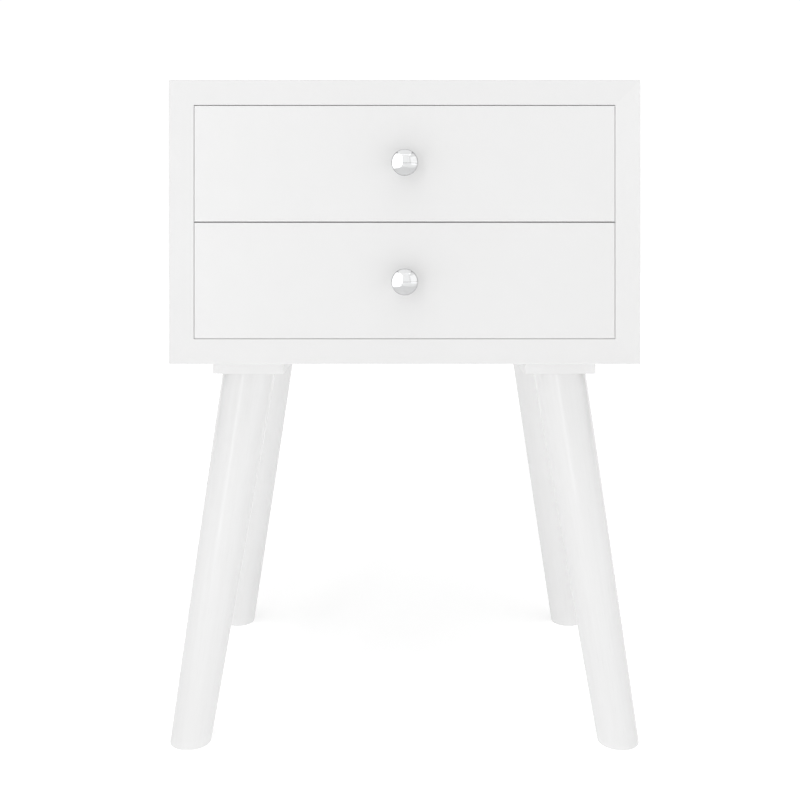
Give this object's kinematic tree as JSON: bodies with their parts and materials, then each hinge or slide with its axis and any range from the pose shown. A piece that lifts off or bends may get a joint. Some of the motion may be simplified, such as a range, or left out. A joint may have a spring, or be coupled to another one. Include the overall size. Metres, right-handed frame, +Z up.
{
  "type": "nightstand with drawers",
  "caption": "White bedside nightstand with flush drawers in a mitred case, polished round knobs and splayed, tapered round legs under square blocks.",
  "frame": {"origin": "on the floor, in the middle of the bounding box seen from above, so it lies below the case, 11.8 mm in front of the middle of its depth", "axes": "+Z up; +X to the right of someone facing the drawer fronts; the drawers open towards -Y"},
  "size_m": [0.397, 0.3314, 0.56],
  "materials": {
    "white_painted_board": "satin",
    "white_painted_leg_wood": "satin",
    "white_hardboard": "matte",
    "drawer_box_wood": "matte",
    "beech": "matte",
    "chrome_knob": "polished",
    "zinc_screws": "satin",
    "white_coated_steel": "gloss",
    "roller_nylon": "satin",
    "glide_plastic": "matte"
  },
  "bodies": {
    "case": {"back_left_leg": "white_painted_leg_wood", "back_left_leg_block": "white_painted_leg_wood", "back_panel": "white_hardboard", "back_right_leg": "white_painted_leg_wood", "back_right_leg_block": "white_painted_leg_wood", "bottom_panel": "white_painted_board", "case_rail_screws": "zinc_screws", "case_roller_rivets": "zinc_screws", "corner_splines": "beech", "foot_glides": "glide_plastic", "front_left_leg": "white_painted_leg_wood", "front_left_leg_block": "white_painted_leg_wood", "front_right_leg": "white_painted_leg_wood", "front_right_leg_block": "white_painted_leg_wood", "left_side_panel": "white_painted_board", "leg_block_screws": "zinc_screws", "leg_hanger_bolts": "zinc_screws", "leg_inserts": "zinc_screws", "lower_left_case_rail": "white_coated_steel", "lower_right_case_rail": "white_coated_steel", "right_side_panel": "white_painted_board", "top_panel": "white_painted_board", "upper_left_case_rail": "white_coated_steel", "upper_right_case_rail": "white_coated_steel"},
    "upper_drawer": {"upper_drawer_back": "drawer_box_wood", "upper_drawer_back_screws": "zinc_screws", "upper_drawer_bottom": "white_hardboard", "upper_drawer_dowels": "beech", "upper_drawer_front": "white_painted_board", "upper_drawer_knob": "chrome_knob", "upper_drawer_knob_screw": "zinc_screws", "upper_drawer_left_side": "drawer_box_wood", "upper_drawer_rail_screws": "zinc_screws", "upper_drawer_right_side": "drawer_box_wood", "upper_drawer_roller_rivets": "zinc_screws", "upper_left_drawer_rail": "white_coated_steel", "upper_right_drawer_rail": "white_coated_steel"},
    "lower_drawer": {"lower_drawer_back": "drawer_box_wood", "lower_drawer_back_screws": "zinc_screws", "lower_drawer_bottom": "white_hardboard", "lower_drawer_dowels": "beech", "lower_drawer_front": "white_painted_board", "lower_drawer_knob": "chrome_knob", "lower_drawer_knob_screw": "zinc_screws", "lower_drawer_left_side": "drawer_box_wood", "lower_drawer_rail_screws": "zinc_screws", "lower_drawer_right_side": "drawer_box_wood", "lower_drawer_roller_rivets": "zinc_screws", "lower_left_drawer_rail": "white_coated_steel", "lower_right_drawer_rail": "white_coated_steel"},
    "lower_left_front_roller_body": {"lower_left_front_roller": "roller_nylon"},
    "lower_left_rear_roller_body": {"lower_left_rear_roller": "roller_nylon"},
    "lower_right_front_roller_body": {"lower_right_front_roller": "roller_nylon"},
    "lower_right_rear_roller_body": {"lower_right_rear_roller": "roller_nylon"},
    "upper_left_front_roller_body": {"upper_left_front_roller": "roller_nylon"},
    "upper_left_rear_roller_body": {"upper_left_rear_roller": "roller_nylon"},
    "upper_right_front_roller_body": {"upper_right_front_roller": "roller_nylon"},
    "upper_right_rear_roller_body": {"upper_right_rear_roller": "roller_nylon"}
  },
  "joints": [
    {"name": "upper_drawer_slide", "type": "slide", "parent": "case", "child": "upper_drawer", "axis": [0, -1, 0], "range_m": [0, 0.185]},
    {"name": "upper_left_front_roller_spin", "type": "hinge", "parent": "case", "child": "upper_left_front_roller_body", "pos_m": [-0.171, -0.11075, 0.46125], "axis": [1, 0, 0], "continuous": true},
    {"name": "upper_left_rear_roller_spin", "type": "hinge", "parent": "upper_drawer", "child": "upper_left_rear_roller_body", "pos_m": [-0.1685, 0.11895, 0.46125], "axis": [1, 0, 0], "continuous": true},
    {"name": "upper_right_front_roller_spin", "type": "hinge", "parent": "case", "child": "upper_right_front_roller_body", "pos_m": [0.171, -0.11075, 0.46125], "axis": [1, 0, 0], "continuous": true},
    {"name": "upper_right_rear_roller_spin", "type": "hinge", "parent": "upper_drawer", "child": "upper_right_rear_roller_body", "pos_m": [0.1685, 0.11895, 0.46125], "axis": [1, 0, 0], "continuous": true},
    {"name": "lower_drawer_slide", "type": "slide", "parent": "case", "child": "lower_drawer", "axis": [0, -1, 0], "range_m": [0, 0.185]},
    {"name": "lower_left_front_roller_spin", "type": "hinge", "parent": "case", "child": "lower_left_front_roller_body", "pos_m": [-0.171, -0.11075, 0.3636], "axis": [1, 0, 0], "continuous": true},
    {"name": "lower_left_rear_roller_spin", "type": "hinge", "parent": "lower_drawer", "child": "lower_left_rear_roller_body", "pos_m": [-0.1685, 0.11895, 0.3636], "axis": [1, 0, 0], "continuous": true},
    {"name": "lower_right_front_roller_spin", "type": "hinge", "parent": "case", "child": "lower_right_front_roller_body", "pos_m": [0.171, -0.11075, 0.3636], "axis": [1, 0, 0], "continuous": true},
    {"name": "lower_right_rear_roller_spin", "type": "hinge", "parent": "lower_drawer", "child": "lower_right_rear_roller_body", "pos_m": [0.1685, 0.11895, 0.3636], "axis": [1, 0, 0], "continuous": true}
  ],
  "couplings": [
    {"joint": "upper_left_front_roller_spin", "follows": "upper_drawer_slide", "rad_per_m": 142.86},
    {"joint": "upper_left_rear_roller_spin", "follows": "upper_drawer_slide", "rad_per_m": 142.86},
    {"joint": "upper_right_front_roller_spin", "follows": "upper_drawer_slide", "rad_per_m": 142.86},
    {"joint": "upper_right_rear_roller_spin", "follows": "upper_drawer_slide", "rad_per_m": 142.86},
    {"joint": "lower_left_front_roller_spin", "follows": "lower_drawer_slide", "rad_per_m": 142.86},
    {"joint": "lower_left_rear_roller_spin", "follows": "lower_drawer_slide", "rad_per_m": 142.86},
    {"joint": "lower_right_front_roller_spin", "follows": "lower_drawer_slide", "rad_per_m": 142.86},
    {"joint": "lower_right_rear_roller_spin", "follows": "lower_drawer_slide", "rad_per_m": 142.86}
  ]
}
